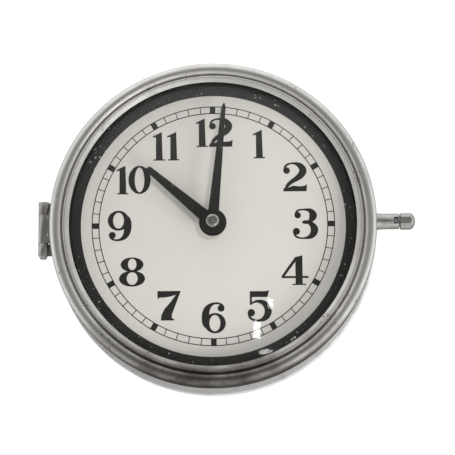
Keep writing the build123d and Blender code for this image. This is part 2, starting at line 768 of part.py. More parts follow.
def figure_6(at, turn=1):
    """Six, or nine when it is turned half round with turn=-1."""
    oval(at, 0.9 * turn, -3.6 * turn, 7.2, 6.9)
    oval(at, 0.8 * turn, -3.6 * turn, 3.7, 5.5, mode=Mode.SUBTRACT)
    back_of_the_bowl = ((-5.0, -6.4, 2.4), (-5.6, -2.6, 4.6), (-5.5, 1.2, 5.0), (-5.0, 4.6, 4.5))
    hook = ((-3.4, 7.5, 3.4), (-0.8, 9.4, 1.9), (2.2, 9.9, 1.3), (5.2, 9.0, 1.3), (6.9, 6.6, 1.0))
    pen_stroke(at, *((x * turn, y * turn, width) for x, y, width in back_of_the_bowl + hook))
    ball(at, 5.0 * turn, 6.5 * turn, 2.35)


def figure_7(at):
    bar = ((4.6, 7.4), (1.0, 6.3), (-3.0, 5.6), (-6.6, 5.6), (-6.9, 4.9), (-7.9, 4.9), (-7.9, 10))
    back_of_the_stem = ((7.9, 10), (1.9, -5.8), (1.7, -8.3), (3.4, -9.2), (3.4, -10))
    front_of_the_stem = ((-5.6, -10), (-5.2, -6.4), (-3.3, -2.4), (0.7, 2.2))
    flat_shape(at, *bar, *back_of_the_stem, *front_of_the_stem)


def figure_8(at):
    oval(at, 0, 5.0, 7.7, 5.0)
    oval(at, 0, -4.6, 8.8, 5.4)
    oval(at, 0.1, 5.2, 2.9, 3.9, mode=Mode.SUBTRACT)
    oval(at, 0.1, -4.5, 3.7, 4.3, mode=Mode.SUBTRACT)


def figure_9(at):
    figure_6(at, turn=-1)


FIRST_FIGURES = [figure_0, figure_1, figure_2, figure_3, figure_4]
FIGURES = FIRST_FIGURES + [figure_5, figure_6, figure_7, figure_8, figure_9]
ADVANCES = {0: 13.1, 1: 9.9}  # room that a narrow figure takes along the line
ADVANCE = 15.5  # and that the others take
# How far (right, up) an hour is printed off its true place.
PRINTED_OFF = {1: (0, 0.8), 2: (0.8, 0.8), 3: (-1.0, 0), 5: (-0.8, -0.7), 7: (1.8, 0), 12: (0.5, 0.7)}

with BuildPart() as dial_numerals:
    with BuildSketch(facing(DIAL_DEPTH)):
        for hour in range(1, 13):
            around = radians(90 - 30 * hour)
            digits = [int(character) for character in str(hour)]
            advances = [ADVANCES.get(digit, ADVANCE) for digit in digits]
            off_right, off_up = PRINTED_OFF.get(hour, (0, 0))
            edge = NUMERAL_CIRCLE * cos(around) + off_right - sum(advances) / 2
            for digit, advance in zip(digits, advances):
                FIGURES[digit]((edge + advance / 2, NUMERAL_CIRCLE * sin(around) + off_up))
                edge += advance
    extrude(amount=INK_T)
dial_numerals.part.label = "dial_numerals"
export_step(dial_numerals.part, "parts/dial_numerals.step")

with BuildPart() as dial_surround:
    revolve(
        half_section(
            (DIAL_R, DIAL_DEPTH),
            (96.4, DIAL_DEPTH),
            (96.4, DIAL_DEPTH + 4.6),
            (95.6, DIAL_DEPTH + 4.6),
            (95.1, DIAL_DEPTH + 1.0),
            (DIAL_R, DIAL_DEPTH + 0.7),
        ),
        axis=Axis.Y,
    )
    holes_through(DIAL_DEPTH - 1, DIAL_DEPTH + 2, 1.35, SEAT_SCREWS)
dial_surround.part.label = "dial_surround"
export_step(dial_surround.part, "parts/dial_surround.step")

with BuildPart() as dial_screws:
    for place in SEAT_SCREWS:
        screw(facing(DIAL_DEPTH + 1.05, *place), 1.6, 0.9, 1.2, 4.5)
dial_screws.part.label = "dial_screws"
export_step(dial_screws.part, "parts/dial_screws.step")

# --- Hands ---

HOUR_HUB_R = 9.3
MINUTE_HUB_R = 8.0
HOUR_PIPE_R = 3.2
CANNON_R = 2.2
HOUR_REACH = 58.5
HOUR_END_W = 4.2
MINUTE_REACH = 84.0
MINUTE_SHOULDER = 80.4  # where the short point begins
MINUTE_BEND = 71.0  # where the tip turns down towards the dial
MINUTE_DROOP = -2.5  # fall of the blade from the hub to the bend
TIP_DROOP = -2.4  # further fall of the tip


def hand_plane(depth, angle):
    """Plane of a hand: local y points along it, at an angle clockwise from twelve."""
    square = (cos(radians(angle)), 0, -sin(radians(angle)))
    return Plane(origin=(0, -depth, 0), x_dir=square, z_dir=(0, -1, 0))


with BuildPart() as hour_hand:
    with BuildSketch(hand_plane(HOUR_HAND_DEPTH, HOUR_ANGLE)):
        with BuildLine():
            # A slow taper with a rounded end.
            left_corner = (-HOUR_END_W / 2, HOUR_REACH - 1.7)
            right_corner = (HOUR_END_W / 2, HOUR_REACH - 1.7)
            Polyline(left_corner, (-4.5, 0), (4.5, 0), right_corner)
            ThreePointArc(right_corner, (0, HOUR_REACH), left_corner)
        make_face()
        Circle(HOUR_HUB_R)
    extrude(amount=HAND_T)
    ring_between(HOUR_HAND_DEPTH - 2.2, HOUR_HAND_DEPTH, 5.0)
    holes_through(HOUR_HAND_DEPTH - 3, HOUR_HAND_DEPTH + 2, HOUR_PIPE_R, [CENTRE])
hour_hand.part.label = "hour_hand"
export_step(hour_hand.part, "parts/hour_hand.step")

with BuildPart() as minute_hand:
    minute_plane = hand_plane(MINUTE_HAND_DEPTH, MINUTE_ANGLE)
    with BuildSketch(minute_plane.offset(-6)):
        with BuildLine():
            # A slow taper that ends in a short point.
            left_edge = ((0, MINUTE_REACH), (-1.45, MINUTE_SHOULDER), (-3.8, 0))
            right_edge = ((3.8, 0), (1.45, MINUTE_SHOULDER))
            Polyline(*left_edge, *right_edge, close=True)
        make_face()
        Circle(MINUTE_HUB_R)
    extrude(amount=8)
    # The side view keeps the hand clear of the falling dome of the glass, and turns its tip down.
    side_plane = Plane(origin=minute_plane.origin, x_dir=minute_plane.y_dir, z_dir=minute_plane.x_dir)
    with BuildSketch(side_plane) as side_view:
        with BuildLine():
            Polyline(
                (-MINUTE_HUB_R - 1, 0),
                (MINUTE_HUB_R, 0),
                (MINUTE_BEND, MINUTE_DROOP),
                (MINUTE_REACH + 1, MINUTE_DROOP + TIP_DROOP),
                (MINUTE_REACH + 1, MINUTE_DROOP + TIP_DROOP + HAND_T),
                (MINUTE_BEND, MINUTE_DROOP + HAND_T),
                (MINUTE_HUB_R, HAND_T),
                (-MINUTE_HUB_R - 1, HAND_T),
                close=True,
            )
        make_face()
    extrude(side_view.sketch, amount=20, both=True, mode=Mode.INTERSECT)
    ring_between(MINUTE_HAND_DEPTH - 1.8, MINUTE_HAND_DEPTH, 4.4)
    holes_through(MINUTE_HAND_DEPTH - 3, MINUTE_HAND_DEPTH + 2, CANNON_R, [CENTRE])
minute_hand.part.label = "minute_hand"
export_step(minute_hand.part, "parts/minute_hand.step")

NUT_START = MINUTE_HAND_DEPTH + HAND_T
NUT_R = 4.5
ARBOR_FRONT_R = 1.5

with BuildPart() as hand_nut:
    ring_between(NUT_START, NUT_START + 4.4, NUT_R)
    fillet(hand_nut.faces().sort_by(Axis.Y)[0].edges(), 1.6)
    # A shallow dish is turned round the end of the arbor.
    ring_between(NUT_START + 3.3, NUT_START + 5, 2.5, mode=Mode.SUBTRACT)
    holes_through(NUT_START - 1, NUT_START + 6, ARBOR_FRONT_R, [CENTRE])
hand_nut.part.label = "hand_nut"
export_step(hand_nut.part, "parts/hand_nut.step")

# --- Motion work, between the movement and the dial ---

MOTION_START = PLATE_FRONT + PLATE_T + 0.3
STUD_R = 1.2

with BuildPart() as centre_arbor:
    ring_between(PLATE_REAR + 0.2, PLATE_REAR + PLATE_T + 0.3, 1.2)
    ring_between(PLATE_REAR + PLATE_T + 0.3, PLATE_FRONT - 0.3, 2.0)
    ring_between(PLATE_FRONT - 0.3, NUT_START + 4.9, ARBOR_FRONT_R)
    chamfer(centre_arbor.faces().sort_by(Axis.Y)[0].edges(), 0.3)
centre_arbor.part.label = "centre_arbor"
export_step(centre_arbor.part, "parts/centre_arbor.step")

with BuildPart() as cannon_pinion:
    toothed(MOTION_MODULE, PINION_TEETH, MOTION_START, MOTION_START + 1.9, tooth_at=90)
    ring_between(MOTION_START + 1.9, NUT_START, CANNON_R)
    holes_through(MOTION_START - 1, NUT_START + 1, ARBOR_FRONT_R, [CENTRE])
cannon_pinion.part.label = "cannon_pinion"
export_step(cannon_pinion.part, "parts/cannon_pinion.step")

with BuildPart() as minute_wheel:
    wheel_start = MOTION_START + 0.2
    pinion_start = MOTION_START + 1.5
    toothed(MOTION_MODULE, MINUTE_WHEEL_TEETH, wheel_start, pinion_start, at=MINUTE_STUD, tooth_at=275)
    crossings(MOTION_START, MOTION_START + 2, 4.0, 6.6, 4, MINUTE_STUD)
    toothed(TRAIN_MODULE, PINION_TEETH, pinion_start, MOTION_START + 4.0, at=MINUTE_STUD, tooth_at=285)
    holes_through(MOTION_START - 1, MOTION_START + 5, STUD_R + RUNNING, [MINUTE_STUD])
minute_wheel.part.label = "minute_wheel"
export_step(minute_wheel.part, "parts/minute_wheel.step")

with BuildPart() as minute_wheel_stud:
    ring_between(PLATE_FRONT, MOTION_START + 4.3, STUD_R, at=MINUTE_STUD)
    ring_between(PLATE_FRONT + PLATE_T, MOTION_START, 2.2, at=MINUTE_STUD)
minute_wheel_stud.part.label = "minute_wheel_stud"
export_step(minute_wheel_stud.part, "parts/minute_wheel_stud.step")

with BuildPart() as hour_wheel:
    toothed(TRAIN_MODULE, HOUR_WHEEL_TEETH, MOTION_START + 2.2, MOTION_START + 3.6, tooth_at=90)
    crossings(MOTION_START, MOTION_START + 5, 5.0, 7.4, 4, CENTRE)
    ring_between(MOTION_START + 2.2, HOUR_HAND_DEPTH + HAND_T, HOUR_PIPE_R)
    holes_through(MOTION_START, HOUR_HAND_DEPTH + 2, CANNON_R + RUNNING, [CENTRE])
hour_wheel.part.label = "hour_wheel"
export_step(hour_wheel.part, "parts/hour_wheel.step")

# --- Movement ---

PIVOT_R = 1.0
BUSH_R = 2.6
PILLARS = [(x, z) for x in (-27.0, 27.0) for z in (-38.0, 20.0)]
PILLAR_R = 3.0
PILLAR_SCREW_R = 1.25
DIAL_FEET = [(-27.0, -6.0), (27.0, -6.0)]
CORE_X = -22.0  # middle of the coil
STATOR_DEPTH = 17.6
STATOR_T = 3.2
CORE_DEPTH = STATOR_DEPTH + STATOR_T
CORE_W = 5.0
LOW_ARM = -35.0  # lower edge of the stator
HIGH_ARM = -9.0
CORE_SCREWS = [(CORE_X, LOW_ARM + 2.5), (CORE_X, HIGH_ARM - 2.5)]
BUSHED = {CENTRE: 1.2, INTERMEDIATE: PIVOT_R, ROTOR: PIVOT_R}


def movement_plate(start):
    """Plate with round corners, pierced for the pillar screws."""
    with BuildSketch(facing(start, 0, -9)) as outline:
        RectangleRounded(66, 70, 6)
    extrude(outline.sketch, amount=PLATE_T)
    holes_through(start - 1, start + 3, PILLAR_SCREW_R + 0.1, PILLARS)


with BuildPart() as movement_rear_plate:
    movement_plate(PLATE_REAR)
    holes_through(PLATE_REAR - 1, PLATE_REAR + 3, BUSH_R, BUSHED)
movement_rear_plate.part.label = "movement_rear_plate"
export_step(movement_rear_plate.part, "parts/movement_rear_plate.step")

with BuildPart() as movement_front_plate:
    movement_plate(PLATE_FRONT)
    holes_through(PLATE_FRONT - 1, PLATE_FRONT + 3, BUSH_R, BUSHED)
    holes_through(PLATE_FRONT - 1, PLATE_FRONT + 3, STUD_R, [MINUTE_STUD])
    holes_through(PLATE_FRONT - 1, PLATE_FRONT + 3, 1.6, DIAL_FEET)
movement_front_plate.part.label = "movement_front_plate"
export_step(movement_front_plate.part, "parts/movement_front_plate.step")

with BuildPart() as rear_bushes:
    for place, bore in BUSHED.items():
        ring_between(PLATE_REAR, PLATE_REAR + PLATE_T, BUSH_R, hole=bore + RUNNING, at=place)
rear_bushes.part.label = "rear_bushes"
export_step(rear_bushes.part, "parts/rear_bushes.step")

with BuildPart() as front_bushes:
    for place in BUSHED:
        bore = ARBOR_FRONT_R if place == CENTRE else PIVOT_R
        ring_between(PLATE_FRONT, PLATE_FRONT + PLATE_T, BUSH_R, hole=bore + RUNNING, at=place)
front_bushes.part.label = "front_bushes"
export_step(front_bushes.part, "parts/front_bushes.step")

PILLAR_START = PLATE_REAR + PLATE_T

with BuildPart() as pillars:
    for place in PILLARS:
        ring_between(PILLAR_START, PLATE_FRONT, PILLAR_R, at=place)
        holes_through(PILLAR_START, PILLAR_START + 5, PILLAR_SCREW_R, [place])
        holes_through(PLATE_FRONT - 5, PLATE_FRONT, PILLAR_SCREW_R, [place])
pillars.part.label = "pillars"
export_step(pillars.part, "parts/pillars.step")

with BuildPart() as pillar_screws:
    for x, z in PILLARS:
        screw(facing(PLATE_FRONT + PLATE_T, x, z), 2.3, 1.3, PILLAR_SCREW_R, 6)
        rear_seat = Plane(origin=(x, -PLATE_REAR, z), x_dir=(1, 0, 0), z_dir=(0, 1, 0))
        screw(rear_seat, 2.3, 1.3, PILLAR_SCREW_R, 6)
pillar_screws.part.label = "pillar_screws"
export_step(pillar_screws.part, "parts/pillar_screws.step")

with BuildPart() as dial_feet:
    for place in DIAL_FEET:
        ring_between(PLATE_FRONT + PLATE_T, DIAL_DEPTH - 1, 2.5, at=place)
        ring_between(PLATE_FRONT - 4, PLATE_FRONT + PLATE_T, 1.5, at=place)
dial_feet.part.label = "dial_feet"
export_step(dial_feet.part, "parts/dial_feet.step")

with BuildPart() as dial_foot_nuts:
    for place in DIAL_FEET:
        with BuildSketch(facing(PLATE_FRONT - 2.4, *place)) as hexagon:
            RegularPolygon(2.75, 6, major_radius=False)
            Circle(1.5, mode=Mode.SUBTRACT)
        extrude(hexagon.sketch, amount=2.4)
dial_foot_nuts.part.label = "dial_foot_nuts"
export_step(dial_foot_nuts.part, "parts/dial_foot_nuts.step")

with BuildPart() as centre_wheel:
    toothed(TRAIN_MODULE, CENTRE_TEETH, 29.8, 31.2, tooth_at=-90, bore=2.0)
    crossings(29, 32, 5.0, 11.0, 5, CENTRE)
centre_wheel.part.label = "centre_wheel"
export_step(centre_wheel.part, "parts/centre_wheel.step")


def pinion_arbor(at, pinion_start, pinion_end, tooth_at):
    """Arbor between the plates with a 12-leaf pinion cut on it."""
    ring_between(PLATE_REAR + 0.3, PLATE_REAR + PLATE_T + 0.3, PIVOT_R, at=at)
    ring_between(PLATE_REAR + PLATE_T + 0.3, PLATE_FRONT - 0.3, 1.5, at=at)
    ring_between(PLATE_FRONT - 0.3, PLATE_FRONT + PLATE_T - 0.2, PIVOT_R, at=at)
    toothed(TRAIN_MODULE, PINION_TEETH, pinion_start, pinion_end, at=at, tooth_at=tooth_at)


with BuildPart() as intermediate_arbor:
    pinion_arbor(INTERMEDIATE, 28.6, 33.0, 105)
intermediate_arbor.part.label = "intermediate_arbor"
export_step(intermediate_arbor.part, "parts/intermediate_arbor.step")

with BuildPart() as intermediate_wheel:
    toothed(TRAIN_MODULE, INTERMEDIATE_TEETH, 24.2, 25.6, INTERMEDIATE, ROTOR_BEARING, bore=1.5)
    crossings(23, 27, 4.5, 9.0, 5, INTERMEDIATE)
intermediate_wheel.part.label = "intermediate_wheel"
export_step(intermediate_wheel.part, "parts/intermediate_wheel.step")

with BuildPart() as rotor_shaft:
    pinion_arbor(ROTOR, 22.8, 27.0, ROTOR_BEARING + 195)
rotor_shaft.part.label = "rotor_shaft"
export_step(rotor_shaft.part, "parts/rotor_shaft.step")

with BuildPart() as rotor_magnet:
    ring_between(17.2, 21.2, 6.0, hole=1.5, at=ROTOR)
    chamfer(rotor_magnet.edges().filter_by(GeomType.CIRCLE).group_by(SortBy.RADIUS)[-1], 0.4)
rotor_magnet.part.label = "rotor_magnet"
export_step(rotor_magnet.part, "parts/rotor_magnet.step")

with BuildPart() as stator_poles:
    arms_start = CORE_X - CORE_W / 2
    arms_end = 22.5
    # Two arms run from the core to the poles.
    for arm in ((LOW_ARM, LOW_ARM + 5), (HIGH_ARM - 5, HIGH_ARM)):
        block((arms_start, STATOR_DEPTH, arm[0]), (arms_end, STATOR_DEPTH + STATOR_T, arm[1]))
    block((5.0, STATOR_DEPTH, LOW_ARM), (arms_end, STATOR_DEPTH + STATOR_T, HIGH_ARM))
    ring_between(STATOR_DEPTH, STATOR_DEPTH + STATOR_T, 6.6, at=ROTOR, mode=Mode.SUBTRACT)
    # The gap either side of the rotor parts the upper pole from the lower one.
    gap_low = ROTOR[1] - 0.6
    block((4, STATOR_DEPTH, gap_low), (24, STATOR_DEPTH + STATOR_T, gap_low + 1.2), mode=Mode.SUBTRACT)
    holes_through(STATOR_DEPTH - 1, CORE_DEPTH + 1, 1.0, CORE_SCREWS)
stator_poles.part.label = "stator_poles"
export_step(stator_poles.part, "parts/stator_poles.step")

with BuildPart() as coil_core:
    block((CORE_X - CORE_W / 2, CORE_DEPTH, LOW_ARM), (CORE_X + CORE_W / 2, CORE_DEPTH + 3.2, HIGH_ARM))
    holes_through(CORE_DEPTH - 1, CORE_DEPTH + 5, 1.1, CORE_SCREWS)
coil_core.part.label = "coil_core"
export_step(coil_core.part, "parts/coil_core.step")

COIL_LOW = LOW_ARM + 5.5
COIL_HIGH = HIGH_ARM - 5.5
COIL_DEPTH = CORE_DEPTH + 1.6

with BuildPart() as coil_bobbin:
    tube_half = CORE_W / 2 + 0.8
    tube_left = CORE_X - tube_half
    tube_right = CORE_X + tube_half
    block((tube_left, COIL_DEPTH - 2.4, COIL_LOW), (tube_right, COIL_DEPTH + 2.4, COIL_HIGH))
    for low in (COIL_LOW, COIL_HIGH - 1):
        block((CORE_X - 5.8, COIL_DEPTH - 5.8, low), (CORE_X + 5.8, COIL_DEPTH + 5.8, low + 1))
    block(
        (CORE_X - CORE_W / 2, CORE_DEPTH, COIL_LOW - 1),
        (CORE_X + CORE_W / 2, CORE_DEPTH + 3.2, COIL_HIGH + 1),
        mode=Mode.SUBTRACT,
    )
coil_bobbin.part.label = "coil_bobbin"
export_step(coil_bobbin.part, "parts/coil_bobbin.step")

with BuildPart() as coil_winding:
    with BuildSketch(Plane.XY.offset(COIL_LOW + 1)):
        with Locations((CORE_X, -COIL_DEPTH)):
            RectangleRounded(10.6, 10.6, 3.0)
            Rectangle(2 * tube_half, 4.8, mode=Mode.SUBTRACT)
    extrude(amount=COIL_HIGH - COIL_LOW - 2)
coil_winding.part.label = "coil_winding"
export_step(coil_winding.part, "parts/coil_winding.step")

with BuildPart() as core_screws:
    for place in CORE_SCREWS:
        screw(facing(CORE_DEPTH + 3.2, *place), 1.9, 1.1, 1.0, 6.0)
core_screws.part.label = "core_screws"
export_step(core_screws.part, "parts/core_screws.step")

TERMINAL_FOOT = 4.6  # front of the dished cover
TERMINAL_TOP = 15.0
TERMINALS = [(-7.0, TERMINAL_Z), (7.0, TERMINAL_Z)]

with BuildPart() as terminal_block:
    block((-12, TERMINAL_FOOT, TERMINAL_Z - 4.5), (12, TERMINAL_TOP, TERMINAL_Z + 4.5))
    fillet(terminal_block.edges().filter_by(Axis.Y), 1.0)
    block((-18.5, TERMINAL_FOOT, TERMINAL_Z - 4.5), (18.5, TERMINAL_FOOT + 3, TERMINAL_Z + 4.5))
    # Each terminal is a square well with a wire hole from above and from below.
    for x, z in TERMINALS:
        block((x - 3, TERMINAL_TOP - 4, z - 3), (x + 3, TERMINAL_TOP, z + 3), mode=Mode.SUBTRACT)
        block((x - 1, TERMINAL_TOP - 3.6, z - 5), (x + 1, TERMINAL_TOP - 1.8, z + 5), mode=Mode.SUBTRACT)
    holes_through(TERMINAL_FOOT - 1, TERMINAL_FOOT + 4, 1.4, BLOCK_SCREWS)
    holes_through(TERMINAL_TOP - 9, TERMINAL_TOP - 3, 1.1, TERMINALS)
terminal_block.part.label = "terminal_block"
export_step(terminal_block.part, "parts/terminal_block.step")

with BuildPart() as terminal_screws:
    for place in TERMINALS:
        screw(facing(TERMINAL_TOP - 1.7, *place), 2.2, 1.1, 1.1, 6.5)
terminal_screws.part.label = "terminal_screws"
export_step(terminal_screws.part, "parts/terminal_screws.step")

with BuildPart() as block_screws:
    for place in BLOCK_SCREWS:
        screw(facing(TERMINAL_FOOT + 3, *place), 2.4, 1.2, 1.3, 4.4)
block_screws.part.label = "block_screws"
export_step(block_screws.part, "parts/block_screws.step")

WIRE_R = 0.7
WIRE_ENDS_X = (CORE_X + 0.5, CORE_X + 4.0)  # where the wires reach the coil, clear of the pillar

with BuildPart() as lead_wires:
    for (x, z), coil_x in zip(TERMINALS, WIRE_ENDS_X):
        wire_start = Vector(x, -(TERMINAL_TOP - 2.7), z + 3.2)
        wire_end = Vector(coil_x, -(COIL_DEPTH + 4.4), COIL_LOW)
        with BuildLine() as run:
            Spline(
                wire_start,
                ((x + coil_x) / 2, -21.0, -46.5),
                wire_end,
                tangents=((0, 0, 1), (0, 0, 1)),
            )
        with BuildSketch(Plane(origin=wire_start, z_dir=(0, 0, 1))) as wire_end_face:
            Circle(WIRE_R)
        sweep(wire_end_face.sketch, path=run.line)
lead_wires.part.label = "lead_wires"
export_step(lead_wires.part, "parts/lead_wires.step")
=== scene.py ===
"""Looks for the ship's deck clock: worn chrome bezel, domed glass, painted dial, dull steel case."""
import json
from math import cos, pi, radians, sin

import bmesh
import bpy
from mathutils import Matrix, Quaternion, Vector


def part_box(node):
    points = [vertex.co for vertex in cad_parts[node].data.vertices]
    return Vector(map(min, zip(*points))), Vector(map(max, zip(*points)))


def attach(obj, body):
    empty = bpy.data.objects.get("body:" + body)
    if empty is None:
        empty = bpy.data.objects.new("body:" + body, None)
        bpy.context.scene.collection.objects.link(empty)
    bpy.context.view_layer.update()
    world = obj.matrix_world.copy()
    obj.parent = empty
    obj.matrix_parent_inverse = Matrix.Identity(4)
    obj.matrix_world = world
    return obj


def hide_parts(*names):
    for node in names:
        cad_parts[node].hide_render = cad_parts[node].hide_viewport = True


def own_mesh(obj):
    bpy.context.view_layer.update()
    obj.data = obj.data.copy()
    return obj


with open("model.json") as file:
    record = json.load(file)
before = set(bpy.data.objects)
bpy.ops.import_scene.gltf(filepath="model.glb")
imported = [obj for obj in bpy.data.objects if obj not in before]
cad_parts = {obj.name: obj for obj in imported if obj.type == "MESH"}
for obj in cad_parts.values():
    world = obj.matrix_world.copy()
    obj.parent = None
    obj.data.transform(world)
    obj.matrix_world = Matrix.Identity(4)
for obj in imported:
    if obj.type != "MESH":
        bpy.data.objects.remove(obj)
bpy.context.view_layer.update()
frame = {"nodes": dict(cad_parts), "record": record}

MM = 0.001
cad_nodes = frame["nodes"]
record = frame["record"]
body_of = {node: body for body, members in record["behaviour"]["bodies"].items() for node in members}
slot_of = {part["node"]: part["material_slot"] for part in record["subparts"]}


# --- Shapes ---

# Parts that are plain turnings: they are turned again from their own section, finer than the CAD mesh.
# Each has the rounding of its corners in millimetres.
TURNED = {
    "bezel_ring": 0.25,
    "glass": 0.3,
    "glass_gasket": 0.2,
    "glass_retaining_ring": 0.25,
    "case_gasket": 0.2,
    "hand_nut": 0.15,
    "dial_surround": 0.2,
}
SEGMENTS = 360
CORNER_STEPS = 4
CORNER_SHARE = 0.45  # the most of a side that the rounding of one corner may take
SHARP_TURN = radians(28)
FLAT_TURN = radians(0.4)
SAME_POINT = 1e-6  # points nearer than this, in metres, are one point
ON_PLANE = 1e-7

# Broken edges on the other parts, in millimetres.
EDGES = {
    "case_body": 0.4,
    "back_cover": 0.25,
    "hinge_case_leaf": 0.3,
    "hinge_bezel_leaf": 0.3,
    "hinge_pin": 0.25,
    "latch_barrel": 0.25,
    "latch_knob": 0.35,
    "latch_plunger": 0.15,
    "hour_hand": 0.15,
    "minute_hand": 0.15,
    "terminal_block": 0.3,
    "coil_winding": 0.3,
    "movement_rear_plate": 0.2,
    "movement_front_plate": 0.2,
}
SMALL_EDGE = 0.08
# Printing, wire and gear teeth keep their edges.
LEFT_AS_CUT = (
    "minute_track",
    "dial_numerals",
    "lead_wires",
    "centre_wheel",
    "intermediate_wheel",
    "hour_wheel",
    "minute_wheel",
    "cannon_pinion",
    "intermediate_arbor",
    "rotor_shaft",
)


def section_of(node):
    """The (radius, y) outline of a turned part, where the half plane above the axis cuts its CAD mesh."""
    cut = bmesh.new()
    cut.from_mesh(cad_nodes[node].data)
    bmesh.ops.remove_doubles(cut, verts=cut.verts, dist=SAME_POINT)
    everything = cut.verts[:] + cut.edges[:] + cut.faces[:]
    made = bmesh.ops.bisect_plane(
        cut, geom=everything, dist=ON_PLANE, plane_co=(0, 0, 0), plane_no=(1, 0, 0)
    )
    neighbours = {}
    for edge in made["geom_cut"]:
        if isinstance(edge, bmesh.types.BMEdge) and sum(v.co.z for v in edge.verts) > 0:
            first, second = edge.verts
            neighbours.setdefault(first, []).append(second)
            neighbours.setdefault(second, []).append(first)
    ends = [vertex for vertex, near in neighbours.items() if len(near) == 1]
    start = ends[0] if ends else next(iter(neighbours))
    outline = [start]
    before = None
    while True:
        onward = [v for v in neighbours[outline[-1]] if v is not before and v is not start]
        if not onward:
            break
        before = outline[-1]
        outline.append(onward[0])
    points = [Vector((max(v.co.z, 0.0), v.co.y)) for v in outline]
    closed = not ends
    cut.free()
    return points, closed


def rounded(points, closed, rounding):
    """The outline with each sharp corner replaced by a small curve."""
    smooth = []
    for i, corner in enumerate(points):
        if not closed and i in (0, len(points) - 1):
            smooth.append(corner)
            continue
        before = points[i - 1] - corner
        after = points[(i + 1) % len(points)] - corner
        turn = pi - before.angle(after)
        if turn < SHARP_TURN:
            smooth.append(corner)
            continue
        reach = min(rounding, before.length * CORNER_SHARE, after.length * CORNER_SHARE)
        first = corner + before.normalized() * reach
        last = corner + after.normalized() * reach
        for step in range(CORNER_STEPS + 1):
            t = step / CORNER_STEPS
            smooth.append(first * (1 - t) ** 2 + corner * 2 * t * (1 - t) + last * t**2)
    return smooth


def turn_again(node, rounding):
    """Builds the finer turning that stands for a CAD node."""
    points, closed = section_of(node)
    points = rounded(points, closed, rounding * MM)
    mesh = bmesh.new()
    rings = []
    for point in points:
        if point.x < SAME_POINT:
            rings.append([mesh.verts.new((0, point.y, 0))] * SEGMENTS)
            continue
        ring = []
        for segment in range(SEGMENTS):
            angle = 2 * pi * segment / SEGMENTS
            ring.append(mesh.verts.new((point.x * cos(angle), point.y, point.x * sin(angle))))
        rings.append(ring)
    pairs = list(zip(rings, rings[1:]))
    if closed:
        pairs.append((rings[-1], rings[0]))
    for near, far in pairs:
        for i in range(SEGMENTS):
            j = (i + 1) % SEGMENTS
            corners = list(dict.fromkeys((near[i], near[j], far[j], far[i])))
            mesh.faces.new(corners)
    bmesh.ops.recalc_face_normals(mesh, faces=mesh.faces)
    data = bpy.data.meshes.new(node + "_turned")
    mesh.to_mesh(data)
    mesh.free()
    piece = bpy.data.objects.new(node + "_turned", data)
    bpy.context.scene.collection.objects.link(piece)
    shade(piece)
    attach(piece, body_of[node])
    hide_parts(node)
    return piece


def shade(piece):
    """Smooth shading that keeps the flat faces flat."""
    piece.data.shade_smooth()
    weighted = piece.modifiers.new("weighted", "WEIGHTED_NORMAL")
    weighted.keep_sharp = True


def break_edges(node, width):
    """Rounds the sharp edges of a CAD node with modifiers, which leave its own mesh alone."""
    piece = cad_nodes[node]
    weld = piece.modifiers.new("weld", "WELD")
    weld.merge_threshold = SAME_POINT
    flat = piece.modifiers.new("flat", "DECIMATE")
    flat.decimate_type = "DISSOLVE"
    flat.angle_limit = FLAT_TURN
    bevel = piece.modifiers.new("edges", "BEVEL")
    bevel.limit_method = "ANGLE"
    bevel.angle_limit = SHARP_TURN
    bevel.width = width * MM
    bevel.segments = 2
    bevel.harden_normals = True


def shortening_spring(node):
    """A copy of the latch spring, with a mesh of its own, that stands in for the CAD node."""
    piece = cad_nodes[node].copy()
    piece.data = cad_nodes[node].data.copy()
    piece.name = node + "_shortening"
    bpy.context.scene.collection.objects.link(piece)
    piece.data.shade_smooth()
    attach(piece, body_of[node])
    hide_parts(node)
    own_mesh(piece)
    return piece


pieces = {}
for node in cad_nodes:
    if node in TURNED:
        pieces[node] = turn_again(node, TURNED[node])
    elif node == "latch_spring":
        pieces[node] = shortening_spring(node)
    else:
        pieces[node] = cad_nodes[node]
        if node not in LEFT_AS_CUT:
            break_edges(node, EDGES.get(node, SMALL_EDGE))


# --- Materials ---

CHROME = (0.73, 0.72, 0.695, 1.0)
TARNISHED_CHROME = (0.50, 0.48, 0.45, 1.0)
# Colour of the painted dark reflection low on the bezel.
PAINTED_LOW_REFLECTION = (0.10, 0.088, 0.078, 1.0)
DIRT = (0.12, 0.1, 0.08, 1.0)
UNDERCOAT = (0.3, 0.29, 0.27, 1.0)
GLASS_INDEX = 1.4
SHEET = 0.5 * MM  # thickness of one sheet of a laminated core
LINE_TURN = 0.6  # how far round its axis a turned line keeps its tone, in radians
SLOPE_OF_LINES = 1.7  # how much faster turned lines follow each other along the axis than outwards


def feed(tree, socket, value):
    """Links a socket to another node's output, or sets its value."""
    if isinstance(value, bpy.types.NodeSocket):
        tree.links.new(value, socket)
    else:
        socket.default_value = value


def grey(value, warmth=0.0):
    return (value * (1 + warmth), value, value * (1 - 1.5 * warmth), 1.0)


def scaled(tone, share):
    """The tone, darker or lighter by a share, and never quite white."""
    return tuple(min(channel * share, 0.95) for channel in tone[:3]) + (1.0,)


